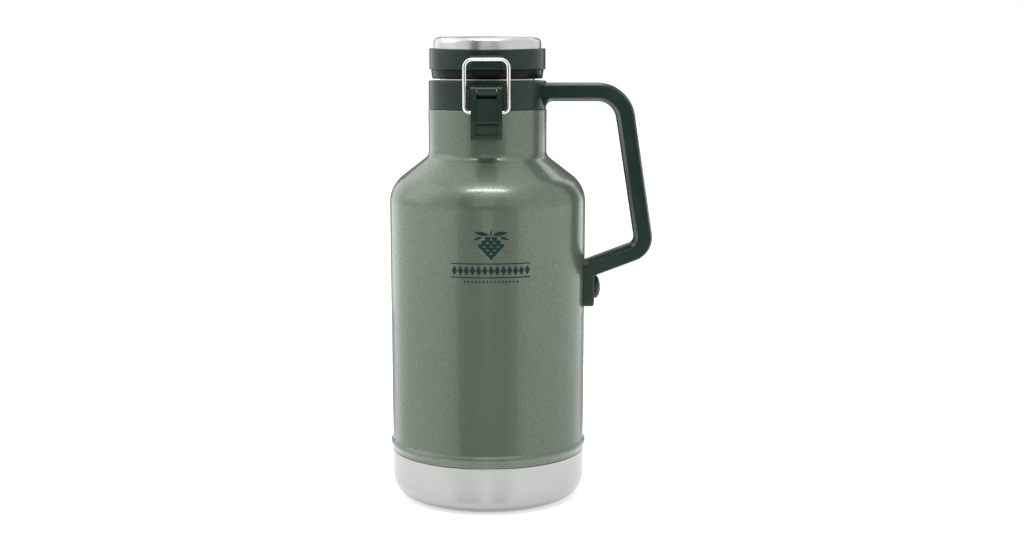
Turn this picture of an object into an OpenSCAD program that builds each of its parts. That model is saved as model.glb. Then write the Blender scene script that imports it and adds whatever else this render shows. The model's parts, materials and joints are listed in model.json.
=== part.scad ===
// Vacuum growler: a double-wall steel bottle with a plastic collar and handle,
// a hinged lid with a plug seal, and an over-centre wire latch at the front.
// Millimetres. Z up, origin on the bottle's axis at the level of its foot.
// The latch faces -Y, the handle +X and the lid hinge +Y.

/* [Vessel] */
// Radius of the painted body just under the shoulder
body_r = 64.5; // [64:0.1:65]
// Radius of the painted body just over the rolled bead
body_low_r = 63.8; // [63.5:0.1:64]
// Radius of the bare steel base band
base_r = 63.8; // [63.5:0.1:64]
// Height of the seam between the bare base and the painted body
seam_z = 31.7; // [30:0.1:34]
// Height of the middle of the rolled bead
bead_z = 37; // [36:0.1:39]
// Height where the shoulder starts to curve in
shoulder_z = 197; // [192:1:200]
// Radius of the shoulder's outward curve
shoulder_bend = 22; // [20:1:24]
// Slope of the shoulder's cone above the horizontal
shoulder_slope = 38; // [36:1:40]
// Radius of the painted neck
neck_r = 38.8; // [38.7:0.1:39.2]
// Thickness of each steel wall
wall = 0.6; // [0.5:0.05:0.8]
// Width of the vacuum space between the walls
vacuum_gap = 7; // [6:0.5:8]
// Inner radius of the mouth
mouth_r = 27.5; // [27.4:0.1:28]
// Height of the mouth's rim
mouth_z = 278; // [278:0.1:278.2]

/* [Collar and handle] */
// Outer radius of the collar
collar_r = 38.5; // [38.3:0.1:38.7]
// Height of the collar's lower edge
collar_low_z = 258.3; // [257.5:0.1:259]
// Height of the collar's upper edge
collar_top_z = 276.5; // [276:0.1:276.6]
// Thickness of the handle's bar in its own plane
bar_t = 12; // [11.5:0.5:13]
// Depth of the handle's bar, front to back
bar_d = 23; // [21:1:24]
// Height of the middle of the handle's top arm
arm_z = 269.2; // [268.6:0.1:269.4]
// Lean of the grip away from the vertical
grip_lean = 8.8; // [8:0.1:9.5]
// Distance from the axis to the crossing of the top arm and grip centre lines
grip_top_x = 88.1; // [86:0.1:90]
// Radius of the upper bend's centre line
upper_bend = 19; // [17:0.5:20]
// Radius of the lower bend's centre line
lower_bend = 10.5; // [9:0.5:12]
// Slope of the lower arm
arm_slope = 20.5; // [19:0.5:22]
// Height where the lower arm and grip centre lines cross
arm_cross_z = 166.7; // [164:0.1:169]
// Height of the lower end of the handle's foot
foot_low_z = 127.7; // [127:0.1:128]
// Outer face of the handle's foot
foot_x = 70.4; // [70:0.1:71]
// Height of the stud that holds the foot
stud_z = 140; // [139.5:0.1:140.1]

/* [Lid] */
// Outer radius of the lid's ring
lid_r = 38; // [37.8:0.1:38.2]
// Height of the ring's lower edge
ring_low_z = 283.8; // [283.7:0.1:284]
// Height of the ring's upper edge
ring_top_z = 297.6; // [297:0.1:298]
// Height of the steel cap's top
cap_top_z = 305; // [304:0.1:306]
// Radius of the steel cap
cap_r = 35.2; // [35:0.1:35.6]
// Lowest point of the plug
plug_low_z = 262; // [261:0.5:264]
// Distance of the lid's hinge axis from the bottle's axis
hinge_y = 44.5; // [44.3:0.1:45]

/* [Latch] */
// Distance of the lever's pivot from the bottle's axis
lever_pivot_y = 43.3; // [43.2:0.1:43.6]
// Height of the lever's pivot
lever_pivot_z = 270.5; // [270.3:0.1:270.7]
// Width of the lever
lever_w = 19.8; // [19.5:0.1:20.5]
// Distance of the bail's pivot from the bottle's axis
bail_pivot_y = 42.7; // [42.6:0.1:42.8]
// Height of the bail's pivot
bail_pivot_z = 257; // [256.5:0.1:257.5]
// Radius of the bail's wire
wire_r = 1.25; // [1.2:0.05:1.3]
// Length of the bail between its pivot and the middle of its top bar
bail_len = 33.3; // [33:0.1:33.6]
// Half the width of the bail between the middles of its wires
bail_half = 13.9; // [13.7:0.1:14.2]
// Width of the catch
catch_w = 21.6; // [20:0.1:22]
// Distance of the catch's front from the bottle's axis
catch_y = 43.4; // [43.2:0.1:43.5]

/* [Hidden] */
$fn = 96;
slim = 0.05;                 // clearance of a running pin
gap = 0.2;                   // clearance between neighbouring parts
step_r = 34.3;               // steel neck under the collar
rim_r = 31;                  // outside of the mouth's rim
rim_t = 1;                   // height of the rim's flange
bead_h = 6;
bead_out = 1.4;
skirt_r = base_r - 1 - gap;  // shell's spigot inside the base cup
spigot_z = 15;
base_bend = 15;
cup_t = 1;
foot_inner_r = 44;           // inside of the ring that the bottle stands on
recess_h = 2;
pan_z = 11;
liner_r = body_low_r - wall - vacuum_gap;
liner_z = 15;
liner_bend = 8;
weld_z = 38;                 // seam between the liner and its bottom
stud_r = 2.5;
stud_end_x = 72.2;
pin_r = 1.5;
latch_pin_r = 1.4;
knuckle_r = 3.8;
barrel_r = 3.6;
barrel_half = 6.1;
lid_knuckle_half = 7;
knuckle_end = 14;
hinge_z = mouth_z;
cap_bend = 4;
screw_ring_r = 34.5;
screw_r = 0.9;
bar_round = 4.2;
hair = 0.02;
lap = 0.5;                   // how far the handle's straight stretches run into its bends
bar_wire = 0.3;              // clearance between the bail's bar and the catch
bail_tilt = asin((catch_y + bar_wire + wire_r - bail_pivot_y) / bail_len);

steel = [0.78, 0.78, 0.77];
hammer_green = [0.42, 0.50, 0.44];
dark_green = [0.10, 0.20, 0.17];
charcoal = [0.10, 0.09, 0.10];

// Points of an arc from angle a0 to a1, centred at [cx, cy].
function arc(cx, cy, r, a0, a1, n) =
    [for (i = [0 : n]) let (a = a0 + (a1 - a0) * i / n) [cx + r * cos(a), cy + r * sin(a)]];

// Outline of a rectangle w by h with corners of radius r, centred on the origin.
function rounded_box(w, h, r, n = 6) = concat(
    arc(w / 2 - r, h / 2 - r, r, 0, 90, n), arc(r - w / 2, h / 2 - r, r, 90, 180, n),
    arc(r - w / 2, r - h / 2, r, 180, 270, n), arc(w / 2 - r, r - h / 2, r, 270, 360, n));

// A shoulder from a body of radius rb at z0, over a bend and a cone, to a neck of radius rn.
function shoulder(rb, z0, bend, rn, fillet, slope, n = 10) =
    let (a = 90 - slope,
         x1 = rb - bend + bend * cos(a),
         z1 = z0 + bend * sin(a),
         x2 = rn + fillet - fillet * cos(a),
         z2 = z1 + (x1 - x2) * tan(slope),
         zc = z2 + fillet * sin(a))
    concat([for (i = [0 : n]) let (t = a * i / n) [rb - bend + bend * cos(t), z0 + bend * sin(t)]],
           [for (i = [0 : n]) let (t = a * (1 - i / n))
                [rn + fillet - fillet * cos(t), zc - fillet * sin(t)]]);

// The rolled bead's bulge, seen from the side, on a wall of radius r.
function bead(r, n = 8) =
    [for (i = [0 : n]) [r + bead_out * sin(180 * i / n), bead_z - bead_h / 2 + bead_h * i / n]];

function reversed(v) = [for (i = [len(v) - 1 : -1 : 0]) v[i]];

// The shell's wall between the seam and the collar's seat, moved inwards by t.
function shell_side(t) = concat(
    bead(body_low_r - t),
    shoulder(body_r - t, shoulder_z, shoulder_bend - t, neck_r - t, 6 + t, shoulder_slope));

// A profile drawn in radius and height, turned round the bottle's axis.
module turned(points) {
    rotate_extrude($fn = 144) polygon(points);
}

// A profile drawn in Y and Z, given a width along X between x0 and x1.
module slab(points, x0, x1) {
    translate([x0, 0, 0]) rotate([90, 0, 90]) linear_extrude(x1 - x0) polygon(points);
}

// A rod along X between x0 and x1.
module rod(y, z, r, x0, x1) {
    translate([x0, y, z]) rotate([0, 90, 0]) cylinder(h = x1 - x0, r = r);
}

// Painted outer wall, with a rolled bead, a stepped neck and a spigot for the base cup.
module outer_shell() {
    low = seam_z + gap;
    color(hammer_green) turned(concat(
        [[skirt_r, spigot_z], [skirt_r, low], [body_low_r - 0.3, low], [body_low_r, low + 0.6]],
        shell_side(0),
        [[neck_r, collar_low_z - gap - 0.8], [neck_r - 0.8, collar_low_z - gap],
         [step_r, collar_low_z - gap], [step_r, 271], [rim_r, 273.6], [rim_r, mouth_z - rim_t],
         [rim_r - wall, mouth_z - rim_t], [rim_r - wall, 273.2], [step_r - wall, 270.6],
         [step_r - wall, collar_low_z - gap - wall], [neck_r - wall, collar_low_z - gap - wall]],
        reversed(shell_side(wall)),
        [[body_low_r - wall, low + wall], [skirt_r - wall, low + wall], [skirt_r - wall, spigot_z]]));
}

// Inner bottle: a tube drawn in at the shoulder, with the rim of the mouth rolled outwards.
module inner_liner() {
    fillet = 9;
    z0 = shoulder_z - 3;
    outer = shoulder(liner_r, z0, 16, mouth_r + wall, fillet, shoulder_slope);
    inner = shoulder(liner_r - wall, z0, 16 - wall, mouth_r, fillet + wall, shoulder_slope);
    color(steel) turned(concat(
        [[liner_r - wall, weld_z], [liner_r, weld_z]],
        outer,
        [[mouth_r + wall, mouth_z - rim_t], [rim_r, mouth_z - rim_t], [rim_r, mouth_z - 0.3],
         [rim_r - 0.3, mouth_z], [mouth_r + 0.3, mouth_z], [mouth_r, mouth_z - 0.3]],
        reversed(inner)));
}

// Pressed bottom of the inner bottle, butt-welded to its tube.
module liner_bottom() {
    bend_x = liner_r - liner_bend;
    bend_z = liner_z + liner_bend;
    color(steel) turned(concat(
        [[0, liner_z]],
        arc(bend_x, bend_z, liner_bend, 270, 360, 6),
        [[liner_r, weld_z], [liner_r - wall, weld_z]],
        arc(bend_x, bend_z, liner_bend - wall, 360, 270, 6),
        [[0, liner_z + wall]]));
}

// Steel pan that closes the vacuum space from below, with a dimple for its seal.
module vacuum_pan() {
    r = skirt_r - wall - slim;
    color(steel) turned([
        [1, pan_z - 1.2], [7, pan_z - 1.2], [9, pan_z], [r - 3, pan_z], [r - 0.8, pan_z + 1],
        [r, pan_z + 3], [r, pan_z + 8], [r - wall, pan_z + 8], [r - wall, pan_z + 3.4],
        [r - 1.5, pan_z + 1.7], [r - 3.2, pan_z + wall], [8.8, pan_z + wall],
        [6.8, pan_z - 0.4], [1, pan_z - 0.4]]);
}

// Bead of solder that seals the hole through which the air was drawn out.
module vacuum_seal() {
    color([0.55, 0.55, 0.57]) turned([
        [0, pan_z - 2.6], [2, pan_z - 2.4], [3, pan_z - 1.2], [1, pan_z - 1.2],
        [1, pan_z - 0.4], [0, pan_z - 0.4]]);
}

// Getter ring that keeps the vacuum, held on the pan's inner side.
module getter() {
    color([0.4, 0.4, 0.42]) turned([
        [15, pan_z + wall], [19, pan_z + wall], [19, pan_z + wall + 1.6], [15, pan_z + wall + 1.6]]);
}

// Bare steel cup round the foot, with a wide corner and a recess underneath.
module base_cup() {
    color(steel) turned(concat(
        [[base_r - cup_t, seam_z], [base_r - 0.2, seam_z], [base_r, seam_z - 0.2]],
        arc(base_r - base_bend, base_bend, base_bend, 0, -90, 12),
        [[foot_inner_r, 0], [foot_inner_r - 2, recess_h], [0, recess_h], [0, recess_h + cup_t],
         [foot_inner_r - 1.6, recess_h + cup_t], [foot_inner_r + 0.4, cup_t]],
        arc(base_r - base_bend, base_bend, base_bend - cup_t, -90, 0, 12)));
}

// One straight stretch of the handle's bar, from point p in the XZ plane along angle a.
// It is a hair slimmer than the bends and runs a little way into them.
module bar(p, a, length) {
    translate([p[0], 0, p[1]]) rotate([0, 90 - a, 0]) translate([0, 0, -lap])
        linear_extrude(length + 2 * lap)
            polygon(rounded_box(bar_t - 2 * hair, bar_d - 2 * hair, bar_round - hair));
}

// One bend of the handle's bar, about centre c in the XZ plane, from angle a0 to a1.
module bend(c, radius, a0, a1) {
    translate([c[0], 0, c[1]]) rotate([90, 0, 0]) rotate([0, 0, a0])
        rotate_extrude(angle = a1 - a0) translate([radius, 0])
            polygon(rounded_box(bar_t, bar_d, bar_round));
}

// Centre line of the handle, worked out from where its straight stretches cross.
turn_up = 90 - grip_lean;
turn_low = 90 + grip_lean - arm_slope;
grip_dir = [sin(grip_lean), -cos(grip_lean)];
up_centre = [grip_top_x - upper_bend * tan(turn_up / 2), arm_z - upper_bend];
up_end = up_centre + upper_bend * [cos(grip_lean), sin(grip_lean)];
cross_x = grip_top_x + (arm_z - arm_cross_z) * tan(grip_lean);
low_start = [cross_x, arm_cross_z] - lower_bend * tan(turn_low / 2) * grip_dir;
low_centre = low_start - lower_bend * [cos(grip_lean), sin(grip_lean)];
low_end = low_centre + lower_bend * [sin(arm_slope), -cos(arm_slope)];

module handle_bar() {
    bar([collar_r - 3, arm_z], 0, up_centre[0] - collar_r + 3);
    bend(up_centre, upper_bend, grip_lean, 90);
    bar(up_end, grip_lean - 90, norm(low_start - up_end));
    bend(low_centre, lower_bend, arm_slope - 90, grip_lean);
    bar(low_end, arm_slope - 180, (low_end[0] - body_low_r) / cos(arm_slope));
}

// Fillet under the top arm, where it leaves the collar.
module arm_fillet() {
    width = bar_d - 2 * bar_round;
    x = collar_r - 0.8;
    z = arm_z - bar_t / 2 + hair;
    r = z - collar_low_z - 0.3;
    translate([0, width / 2, 0]) rotate([90, 0, 0]) linear_extrude(width)
        polygon(concat([[x - 1, z - r], [x - 1, z + 1], [x + r, z + 1]], arc(x + r, z - r, r, 90, 180, 8)));
}

// Foot of the handle: a pad against the body, with a pocket for the nut.
module handle_foot() {
    pad_h = 30;
    translate([body_low_r - 2, 0, foot_low_z + pad_h / 2]) rotate([0, 90, 0])
        linear_extrude(foot_x - body_low_r + 2) polygon(rounded_box(pad_h, bar_d, 4.5));
}

// Plastic ring round the neck, with the latch's barrel in front and the hinge behind.
module collar_ring() {
    turned([
        [step_r + gap, collar_low_z], [collar_r - 0.4, collar_low_z], [collar_r, collar_low_z + 0.4],
        [collar_r, collar_top_z - 0.6], [collar_r - 0.6, collar_top_z],
        [rim_r + gap, collar_top_z], [rim_r + gap, 273.7], [step_r + gap, 271.2]]);
    slab([[-lever_pivot_y, lever_pivot_z - 3.3], [-collar_r + 1.5, lever_pivot_z - 5],
          [-collar_r + 1.5, lever_pivot_z + 4.4], [-lever_pivot_y, lever_pivot_z + 3.5]],
         -barrel_half, barrel_half);
    rod(-lever_pivot_y, lever_pivot_z, barrel_r, -barrel_half, barrel_half);
    for (side = [-1, 1]) {
        x0 = side > 0 ? lid_knuckle_half + gap : -knuckle_end;
        x1 = side > 0 ? knuckle_end : -lid_knuckle_half - gap;
        slab([[35.2, 264], [38.4, 264], [hinge_y + 3.2, hinge_z - 2.2], [hinge_y + 1, hinge_z + 1],
              [hinge_y - 3.6, hinge_z], [hinge_y - 3.6, collar_top_z - 0.2], [35.2, collar_top_z - 0.2]],
             x0, x1);
        rod(hinge_y, hinge_z, knuckle_r, x0, x1);
    }
}

// Collar and handle are one moulding. Its foot is bolted to a stud on the body.
module collar_handle() {
    color(dark_green) difference() {
        union() {
            collar_ring();
            handle_bar();
            arm_fillet();
            handle_foot();
        }
        translate([0, 0, 100]) cylinder(h = 110, r = body_r + 0.05, $fn = 144);
        translate([0, 0, collar_low_z - 1]) cylinder(h = 14, r = step_r + gap, $fn = 144);
        rod(-lever_pivot_y, lever_pivot_z, latch_pin_r, -20, 20);
        rod(hinge_y, hinge_z, pin_r, -20, 20);
        rod(0, stud_z, 4.5, body_r - 3, body_r + 1.5);
        rod(0, stud_z, stud_r + gap, body_r - 3, foot_x);
        rod(0, stud_z, 5.8, foot_x - 2.8, foot_x + 1);
    }
}

// Threaded stud welded to the body, with its weld flange.
module handle_stud() {
    color(steel) difference() {
        union() {
            rod(0, stud_z, stud_r, body_r - 2, stud_end_x);
            rod(0, stud_z, 4.2, body_r - 2, body_r + 1.2);
        }
        translate([0, 0, 100]) cylinder(h = 100, r = body_r + 0.01, $fn = 144);
    }
}

module nut_washer() {
    color(steel) difference() {
        rod(0, stud_z, 5.4, foot_x - 2.8, foot_x - 2.1);
        rod(0, stud_z, stud_r + gap, foot_x - 4, foot_x);
    }
}

module handle_nut() {
    color(steel) translate([foot_x - 2.1, 0, stud_z]) rotate([0, 90, 0]) difference() {
        cylinder(h = 3.2, r = 4.6, $fn = 6);
        translate([0, 0, -1]) cylinder(h = 6, r = stud_r);
    }
}

// Domed plastic cover that snaps into the pocket over the nut.
module nut_cover() {
    r = 7.8;
    color(dark_green) translate([foot_x, 0, stud_z]) rotate([0, 90, 0]) rotate_extrude() polygon(concat(
        [[5.1, -1.2], [5.7, -1.2], [5.7, 0.05], [r, 0.05], [r, 1.2]],
        [for (i = [1 : 8]) [r * cos(i * 11.25), 1.2 + 3.2 * sin(i * 11.25)]],
        [[0, 2.8], [3.4, 2.7], [5.1, 1.6]]));
}

module hinge_pin() {
    color(steel) rod(hinge_y, hinge_z, pin_r, -knuckle_end - 0.4, knuckle_end + 0.4);
}

module latch_pin() {
    color(steel) rod(-lever_pivot_y, lever_pivot_z, latch_pin_r, 0.4 - lever_w / 2, lever_w / 2 - 0.4);
}

// Catch on the front of the lid: a hook, open upwards, with bevelled sides.
module lid_catch() {
    notch_floor = ring_low_z + 5.2;
    lip_z = ring_low_z + 9;
    half = catch_w / 2;
    intersection() {
        slab([[-lid_r + 2, ring_low_z], [1 - catch_y, ring_low_z], [-catch_y, ring_low_z + 1],
              [-catch_y, lip_z - 2.2], [0.5 - catch_y, lip_z - 0.7], [1.3 - catch_y, lip_z],
              [2 - catch_y, lip_z - 0.3], [2.2 - catch_y, lip_z - 1], [2.2 - catch_y, notch_floor],
              [-lid_r + 2, notch_floor]], -half, half);
        translate([0, 0, ring_low_z - 1]) linear_extrude(12)
            polygon([[-half, -lid_r + 3], [-half, 1.8 - catch_y], [2.6 - half, -catch_y - 0.1],
                     [half - 2.6, -catch_y - 0.1], [half, 1.8 - catch_y], [half, -lid_r + 3]]);
    }
}

// Green ring of the lid, with the catch in front and the middle knuckle behind.
module lid_ring() {
    ledge = ring_top_z - 5;
    color(dark_green) difference() {
        union() {
            turned([
                [33, ring_low_z], [lid_r - 0.4, ring_low_z], [lid_r, ring_low_z + 0.4],
                [lid_r, ring_top_z - 0.5], [lid_r - 0.5, ring_top_z], [cap_r + gap, ring_top_z],
                [cap_r + gap, ledge], [33, ledge]]);
            lid_catch();
            slab([[35.5, ring_low_z + 1.6], [35.5, ring_top_z - 2.5], [38.5, ring_top_z - 3],
                  [hinge_y + 3.3, hinge_z + 2], [hinge_y + 2, hinge_z - 2], [hinge_y - 3.4, hinge_z + 1.6]],
                 -lid_knuckle_half, lid_knuckle_half);
            rod(hinge_y, hinge_z, knuckle_r, -lid_knuckle_half, lid_knuckle_half);
        }
        rod(hinge_y, hinge_z, pin_r + slim, -20, 20);
        translate([0, 0, ring_low_z - 1]) cylinder(h = 30, r = 33, $fn = 144);
        translate([0, 0, ledge]) cylinder(h = 30, r = cap_r + gap, $fn = 144);
        for (a = [45 : 90 : 315])
            rotate(a) translate([screw_ring_r, 0, 0]) cylinder(h = 290, r = screw_r);
    }
}

// Pressed steel cap on top of the lid.
module lid_cap() {
    low = ring_top_z - 5 + 0.02;
    bend_z = cap_top_z - cap_bend;
    color(steel) turned(concat(
        [[cap_r - wall, low], [cap_r, low]],
        arc(cap_r - cap_bend, bend_z, cap_bend, 0, 90, 8),
        [[0, cap_top_z], [0, cap_top_z - wall]],
        arc(cap_r - cap_bend, bend_z, cap_bend - wall, 90, 0, 8)));
}

// Charcoal core: a skirt under the ring, a groove for the gasket and the hollow plug.
module lid_core() {
    roof = mouth_z + 2.5;
    skirt_z = mouth_z - 0.1;
    color(charcoal) difference() {
        turned([
            [0, plug_low_z], [24.3, plug_low_z], [25.3, plug_low_z + 1], [26.6, 275], [26.6, roof],
            [32.6, roof], [32.6, skirt_z], [36.1, skirt_z], [36.9, ring_low_z - slim],
            [32.8, ring_low_z - slim], [32.8, ring_top_z - 5.2], [31.2, ring_top_z - 5.2],
            [31.2, 282.1], [25, 282.1], [25, 275], [23.7, plug_low_z + 1.6], [0, plug_low_z + 1.6]]);
        for (a = [45 : 90 : 315]) rotate(a) translate([screw_ring_r, 0, 0]) {
            cylinder(h = 300, r = screw_r + 0.1);
            cylinder(h = skirt_z + 2, r = 1.55);
        }
    }
}

// Foam that fills the core and keeps the lid insulated.
module lid_foam() {
    color([0.9, 0.88, 0.8]) turned([
        [0, plug_low_z + 1.8], [23.4, plug_low_z + 1.8], [24.7, 275], [24.7, 282.4],
        [31, 282.4], [31, ring_top_z - 5.4], [0, ring_top_z - 5.4]]);
}

// Silicone ring that seals on the mouth's rim.
module lid_gasket() {
    low = mouth_z + 0.03;
    color([0.2, 0.2, 0.2]) turned([
        [26.75, low + 0.4], [27.2, low], [31.9, low], [32.4, low + 0.4],
        [32.4, low + 2.3], [26.75, low + 2.3]]);
}

// The four screws that hold the core to the ring, one group of separate solids.
module lid_screws() {
    head_z = mouth_z + 0.4;
    color(steel) for (a = [45 : 90 : 315]) rotate(a) translate([screw_ring_r, 0, head_z]) {
        cylinder(h = 1.45, r = 1.5);
        cylinder(h = 10.8, r = screw_r);
    }
}

// Over-centre lever: two ears on the pivot, a plate sunk between two rails and a finger scoop.
module latch_lever() {
    front = lever_pivot_y + 3.9;
    back = lever_pivot_y - 3.6;
    half = lever_w / 2;
    plate_z = 265.7;
    scoop_z = 250.7;
    tip_z = 240;
    sink = 0.9;
    rail = 2.4;
    lip = front + 2.4;
    side = [[-back, lever_pivot_z], [-back, 254], [0.2 - bail_pivot_y, 247.2], [-front + 1.2, tip_z + 0.9],
            [0.4 - lip, tip_z], [-lip, tip_z + 1.4], [-front, scoop_z], [-front, lever_pivot_z]];
    color(dark_green) difference() {
        union() {
            slab(side, -half, rail - half);
            slab(side, half - rail, half);
            for (s = [-1, 1]) {
                x0 = s > 0 ? barrel_half + 0.3 : -half;
                x1 = s > 0 ? half : -barrel_half - 0.3;
                rod(-lever_pivot_y, lever_pivot_z, 3.9, x0, x1);
                slab([[-back, plate_z - 1], [-front, plate_z - 1], [-front, lever_pivot_z],
                      [-back, lever_pivot_z]], x0, x1);
            }
            slab([[sink - front, scoop_z - 1], [2.4 - front, scoop_z - 1], [2.4 - front, plate_z],
                  [sink - front, plate_z]], -half, half);
            slab([[-front, scoop_z + 0.1], [2.9 - front, scoop_z + 0.1], [2.9 - front, 247],
                  [-front + 1.2, tip_z + 0.9], [0.4 - lip, tip_z], [-lip, tip_z + 1.4], [-front, scoop_z]],
                 -half, half);
        }
        slab([[-60, scoop_z - 0.3], [1.6 - front, scoop_z - 0.3], [-lip + 1.8, tip_z + 3],
              [-60, tip_z + 3]], -half + 2.6, half - 2.6);
        rod(-lever_pivot_y, lever_pivot_z, latch_pin_r + slim, -20, 20);
        rod(-bail_pivot_y, bail_pivot_z, wire_r + slim, -20, 20);
    }
}

// One corner of the wire: a quarter turn about [x, z], from angle a0.
module wire_bend(x, z, radius, a0) {
    translate([x, 0, z]) rotate([90, 0, 0]) rotate([0, 0, a0])
        rotate_extrude(angle = 90) translate([radius, 0]) circle(r = wire_r, $fn = 32);
}

// Steel wire bail: its two ends turn inwards into the lever and its top bar goes over the catch.
module bail_wire() {
    foot_bend = 3.6;
    top_bend = 5;
    inner_x = 8.3;
    color(steel) translate([0, -bail_pivot_y, bail_pivot_z]) rotate([bail_tilt, 0, 0]) {
        for (s = [0, 1]) mirror([s, 0, 0]) {
            rod(0, 0, wire_r, inner_x, bail_half - foot_bend, $fn = 32);
            wire_bend(bail_half - foot_bend, foot_bend, foot_bend, 270);
            translate([bail_half, 0, foot_bend])
                cylinder(h = bail_len - foot_bend - top_bend, r = wire_r, $fn = 32);
            wire_bend(bail_half - top_bend, bail_len - top_bend, top_bend, 0);
        }
        rod(0, bail_len, wire_r, top_bend - bail_half, bail_half - top_bend, $fn = 32);
    }
}

outer_shell();
inner_liner();
liner_bottom();
vacuum_pan();
vacuum_seal();
getter();
base_cup();
collar_handle();
handle_stud();
handle_nut();
nut_washer();
nut_cover();
hinge_pin();
latch_pin();
lid_ring();
lid_cap();
lid_core();
lid_foam();
lid_gasket();
lid_screws();
latch_lever();
bail_wire();
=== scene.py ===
"""Looks of the growler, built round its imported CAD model: hammered paint, moulded plastic, brushed steel."""

import json
import math

import bmesh
import bpy
from mathutils import Matrix, Vector


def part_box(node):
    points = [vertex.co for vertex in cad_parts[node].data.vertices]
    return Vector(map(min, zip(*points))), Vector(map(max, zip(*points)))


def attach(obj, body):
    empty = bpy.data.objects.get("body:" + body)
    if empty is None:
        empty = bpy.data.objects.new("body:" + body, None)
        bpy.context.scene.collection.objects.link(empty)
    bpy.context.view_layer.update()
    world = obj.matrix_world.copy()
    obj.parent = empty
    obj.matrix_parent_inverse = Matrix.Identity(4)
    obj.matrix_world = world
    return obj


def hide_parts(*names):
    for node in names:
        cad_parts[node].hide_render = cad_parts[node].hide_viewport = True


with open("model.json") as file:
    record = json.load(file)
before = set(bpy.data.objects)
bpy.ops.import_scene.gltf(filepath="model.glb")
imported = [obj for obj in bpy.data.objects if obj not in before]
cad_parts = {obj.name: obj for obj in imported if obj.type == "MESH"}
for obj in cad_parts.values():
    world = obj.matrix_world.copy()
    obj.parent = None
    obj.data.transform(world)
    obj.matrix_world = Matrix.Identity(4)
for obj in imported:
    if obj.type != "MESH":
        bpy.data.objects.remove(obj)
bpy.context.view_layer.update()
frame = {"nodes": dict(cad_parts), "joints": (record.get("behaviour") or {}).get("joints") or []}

MM = 0.001
TURN = 192                      # segments of a full turn in the turned pieces


def span(node):
    """Lowest and highest corner of a CAD node, in millimetres."""
    low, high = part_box(node)
    return low / MM, high / MM


# ---------------------------------------------------------------- places taken from the frame, in millimetres

shell_high = span("outer_shell")[1]
cup_high = span("base_cup")[1]
cap_low, cap_high = span("lid_cap")
ring_low = span("lid_ring")[0]
liner_high = span("inner_liner")[1]
joint_at = {j["name"]: Vector(j["pos_m"]) / MM for j in frame["joints"]}

LEVER_Y, LEVER_Z = joint_at["latch_lever"].y, joint_at["latch_lever"].z
HINGE_Y, HINGE_Z = joint_at["lid_hinge"].y, joint_at["lid_hinge"].z
BAIL_Y, BAIL_Z = joint_at["bail_pivot"].y, joint_at["bail_pivot"].z

MOUTH_Z = liner_high.z
CUP_R = cup_high.x
BEAD_R = shell_high.x           # outermost line of the rolled bead
BODY_R = 64.5                   # under the shoulder
BODY_LOW_R = 63.8               # over the bead
NECK_R = 38.8
SEAM_Z = cup_high.z
BEAD_Z = SEAM_Z + 5.3
SHOULDER_Z = 197
SHOULDER_BEND, NECK_FILLET, SHOULDER_SLOPE = 22, 6, 38
COLLAR_R = 38.5
COLLAR_LOW_Z = 258.3
COLLAR_TOP_Z = MOUTH_Z - 1.5
BORE_R, BORE_TOP_Z = 34.5, 271.2    # the collar's bore round the neck's step
LIP_R, LIP_LOW_Z = 31.2, 273.7      # the collar's lip round the mouth
RING_R = 38.0
RING_LOW_Z = MOUTH_Z + 5.8
RING_TOP_Z = RING_LOW_Z + 13.8
CAP_R = cap_high.x
CAP_TOP_Z = cap_high.z
HALF_KNUCKLE = 7.0              # lid's knuckle; the collar's two start 0.2 mm outside it
KNUCKLE_END = 14.0
KNUCKLE_R = 3.8
BARREL_HALF = 6.1               # the collar's barrel, on which the lever turns


# ---------------------------------------------------------------- outlines

def arc(cx, cy, r, a0, a1, n):
    """Points of an arc, angles in degrees."""
    angles = [math.radians(a0 + (a1 - a0) * i / n) for i in range(n + 1)]
    return [(cx + r * math.cos(a), cy + r * math.sin(a)) for a in angles]


def rounded(corners, n=6):
    """A closed outline whose corners (x, y, r) are rounded to their own radius."""
    out = []
    for i, (x, y, r) in enumerate(corners):
        following = corners[(i + 1) % len(corners)]
        before, here, after = (Vector(c[:2]) for c in (corners[i - 1], (x, y), following))
        to_a, to_b = before - here, after - here
        if r <= 0 or to_a.length < 1e-6 or to_b.length < 1e-6:
            out.append((x, y))
            continue
        angle = to_a.angle(to_b)
        reach = min(r / math.tan(angle / 2), to_a.length * 0.49, to_b.length * 0.49)
        start, end = here + to_a.normalized() * reach, here + to_b.normalized() * reach
        for k in range(n + 1):
            t = k / n
            out.append(tuple((1 - t) ** 2 * start + 2 * t * (1 - t) * here + t * t * end))
    return out


def shoulder(rb, z0, bend, rn, fillet, slope, n=20):
    """From a body of radius rb at z0, over a bend and a cone, to a neck of radius rn."""
    a = math.radians(90 - slope)
    x1, z1 = rb - bend + bend * math.cos(a), z0 + bend * math.sin(a)
    x2 = rn + fillet - fillet * math.cos(a)
    z2 = z1 + (x1 - x2) * math.tan(math.radians(slope))
    zc = z2 + fillet * math.sin(a)
    turns = [a * i / n for i in range(n + 1)]
    over = [(rb - bend + bend * math.cos(t), z0 + bend * math.sin(t)) for t in turns]
    under = [(rn + fillet - fillet * math.cos(t), zc - fillet * math.sin(t)) for t in reversed(turns)]
    return over + under


# ---------------------------------------------------------------- meshes

def mesh_object(name, bm, sharp=32):
    """A finished object from a bmesh in millimetres, smooth but for edges over the angle sharp."""
    bmesh.ops.remove_doubles(bm, verts=bm.verts, dist=1e-4)
    bmesh.ops.recalc_face_normals(bm, faces=bm.faces)
    bmesh.ops.scale(bm, vec=(MM, MM, MM), verts=bm.verts)
    mesh = bpy.data.meshes.new(name)
    bm.to_mesh(mesh)
    bm.free()
    obj = bpy.data.objects.new(name, mesh)
    bpy.context.scene.collection.objects.link(obj)
    shade(obj, sharp)
    return obj


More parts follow.
